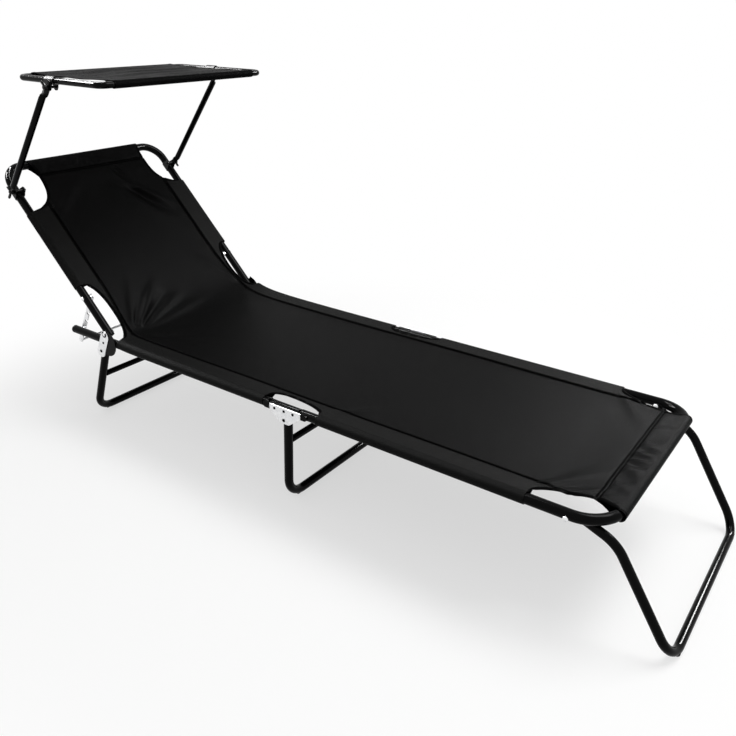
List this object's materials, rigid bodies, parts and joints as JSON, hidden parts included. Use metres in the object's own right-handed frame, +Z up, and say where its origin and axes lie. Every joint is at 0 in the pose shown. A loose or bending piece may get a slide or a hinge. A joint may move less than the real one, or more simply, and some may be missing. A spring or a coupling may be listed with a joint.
{
  "type": "folding sun lounger",
  "caption": "Folding sun lounger: three-legged tube frame, fabric sling, notched-prop backrest, double-hinged foot section and a tilting canopy on two arms.",
  "frame": {"origin": "centre of the bounding box, on the floor", "axes": "+X towards the foot end, +Y to the left of a person lying on it, +Z up"},
  "size_m": [1.9074, 0.5888, 0.9155],
  "materials": {
    "black_coated_steel": "glossy black powder coat",
    "galvanised_steel": "bright galvanised",
    "black_plastic": "satin moulded plastic",
    "sling_fabric": "coated fine weave",
    "canopy_fabric": "thin fine weave"
  },
  "bodies": {
    "seat": {"seat_rail_right": "black_coated_steel", "seat_rail_left": "black_coated_steel", "rail_cap_right": "black_plastic", "rail_cap_left": "black_plastic", "hinge_strap_right": "galvanised_steel", "hinge_strap_left": "galvanised_steel", "hinge_disc_right": "black_coated_steel", "hinge_disc_left": "black_coated_steel", "seat_tongue_right": "black_coated_steel", "seat_tongue_left": "black_coated_steel", "hook_pin_right": "galvanised_steel", "hook_pin_left": "galvanised_steel", "back_pivot_right": "galvanised_steel", "back_pivot_left": "galvanised_steel", "rear_leg_pivot_right": "galvanised_steel", "rear_leg_pivot_left": "galvanised_steel", "seat_sling": "sling_fabric"},
    "backrest": {"head_frame": "black_coated_steel", "prop_rivet_right": "galvanised_steel", "prop_rivet_left": "galvanised_steel", "lower_clip_right": "black_plastic", "lower_clip_left": "black_plastic", "back_sling": "sling_fabric"},
    "prop": {"prop_bar_right": "galvanised_steel", "prop_bar_left": "galvanised_steel", "prop_rod": "galvanised_steel"},
    "link": {"link_tube_right": "black_coated_steel", "link_tube_left": "black_coated_steel", "link_plate_right": "galvanised_steel", "link_plate_left": "galvanised_steel", "mid_leg_pivot_right": "galvanised_steel", "mid_leg_pivot_left": "galvanised_steel"},
    "foot_section": {"foot_frame": "black_coated_steel", "foot_tongue_right": "black_coated_steel", "foot_tongue_left": "black_coated_steel", "foot_leg_pivot_right": "galvanised_steel", "foot_leg_pivot_left": "galvanised_steel", "foot_sling": "sling_fabric"},
    "rear_leg": {"rear_leg_tube_right": "black_coated_steel", "rear_leg_tube_left": "black_coated_steel", "rear_leg_floor_bar": "black_coated_steel", "rear_leg_brace": "black_coated_steel"},
    "mid_leg": {"mid_leg_tube_right": "black_coated_steel", "mid_leg_tube_left": "black_coated_steel", "mid_leg_floor_bar": "black_coated_steel", "mid_leg_brace": "black_coated_steel"},
    "foot_leg": {"foot_leg_tube_right": "black_coated_steel", "foot_leg_tube_left": "black_coated_steel", "foot_leg_floor_bar": "black_coated_steel"},
    "canopy_arms": {"canopy_arm_right": "black_coated_steel", "canopy_arm_left": "black_coated_steel"},
    "canopy": {"canopy_frame": "black_coated_steel", "upper_clip_right": "black_plastic", "upper_clip_left": "black_plastic", "canopy_fabric": "canopy_fabric"},
    "lower_knob_right": {"lower_wing_screw_right": "black_plastic"},
    "lower_knob_left": {"lower_wing_screw_left": "black_plastic"},
    "upper_knob_right": {"upper_wing_screw_right": "black_plastic"},
    "upper_knob_left": {"upper_wing_screw_left": "black_plastic"}
  },
  "joints": [
    {"name": "back_hinge", "type": "hinge", "parent": "seat", "child": "backrest", "pos_m": [-0.5636, 0, 0.2765], "axis": [0, -1, 0], "range_deg": [-24, 45.8]},
    {"name": "prop_hinge", "type": "hinge", "parent": "backrest", "child": "prop", "pos_m": [-0.64308, 0, 0.35823], "axis": [0, -1, 0], "range_deg": [-51, 27]},
    {"name": "link_hinge", "type": "hinge", "parent": "seat", "child": "link", "pos_m": [0.0464, 0, 0.25], "axis": [0, -1, 0], "range_deg": [0, 90]},
    {"name": "foot_hinge", "type": "hinge", "parent": "link", "child": "foot_section", "pos_m": [0.1004, 0, 0.25], "axis": [0, -1, 0], "range_deg": [0, 90]},
    {"name": "rear_leg_hinge", "type": "hinge", "parent": "seat", "child": "rear_leg", "pos_m": [-0.5886, 0, 0.2225], "axis": [0, -1, 0], "range_deg": [0, 110]},
    {"name": "mid_leg_hinge", "type": "hinge", "parent": "link", "child": "mid_leg", "pos_m": [0.0729, 0, 0.227], "axis": [0, -1, 0], "range_deg": [0, 90]},
    {"name": "foot_leg_hinge", "type": "hinge", "parent": "foot_section", "child": "foot_leg", "pos_m": [0.7314, 0, 0.2455], "axis": [0, 1, 0], "range_deg": [0, 118]},
    {"name": "arm_hinge", "type": "hinge", "parent": "backrest", "child": "canopy_arms", "pos_m": [-0.87285, 0, 0.61602], "axis": [0, 1, 0], "range_deg": [-30, 60]},
    {"name": "canopy_hinge", "type": "hinge", "parent": "canopy_arms", "child": "canopy", "pos_m": [-0.6383, 0, 0.89008], "axis": [0, 1, 0], "range_deg": [-50, 50]},
    {"name": "lower_screw_turn_right", "type": "hinge", "parent": "backrest", "child": "lower_knob_right", "pos_m": [-0.87285, -0.2768, 0.61602], "axis": [0, 1, 0], "continuous": true},
    {"name": "lower_screw_turn_left", "type": "hinge", "parent": "backrest", "child": "lower_knob_left", "pos_m": [-0.87285, 0.2768, 0.61602], "axis": [0, 1, 0], "continuous": true},
    {"name": "upper_screw_turn_right", "type": "hinge", "parent": "canopy", "child": "upper_knob_right", "pos_m": [-0.6383, -0.2693, 0.89008], "axis": [0, 1, 0], "continuous": true},
    {"name": "upper_screw_turn_left", "type": "hinge", "parent": "canopy", "child": "upper_knob_left", "pos_m": [-0.6383, 0.2693, 0.89008], "axis": [0, 1, 0], "continuous": true}
  ],
  "couplings": [
    {"joint": "prop_hinge", "follows": "back_hinge", "ratio": -1.1}
  ]
}
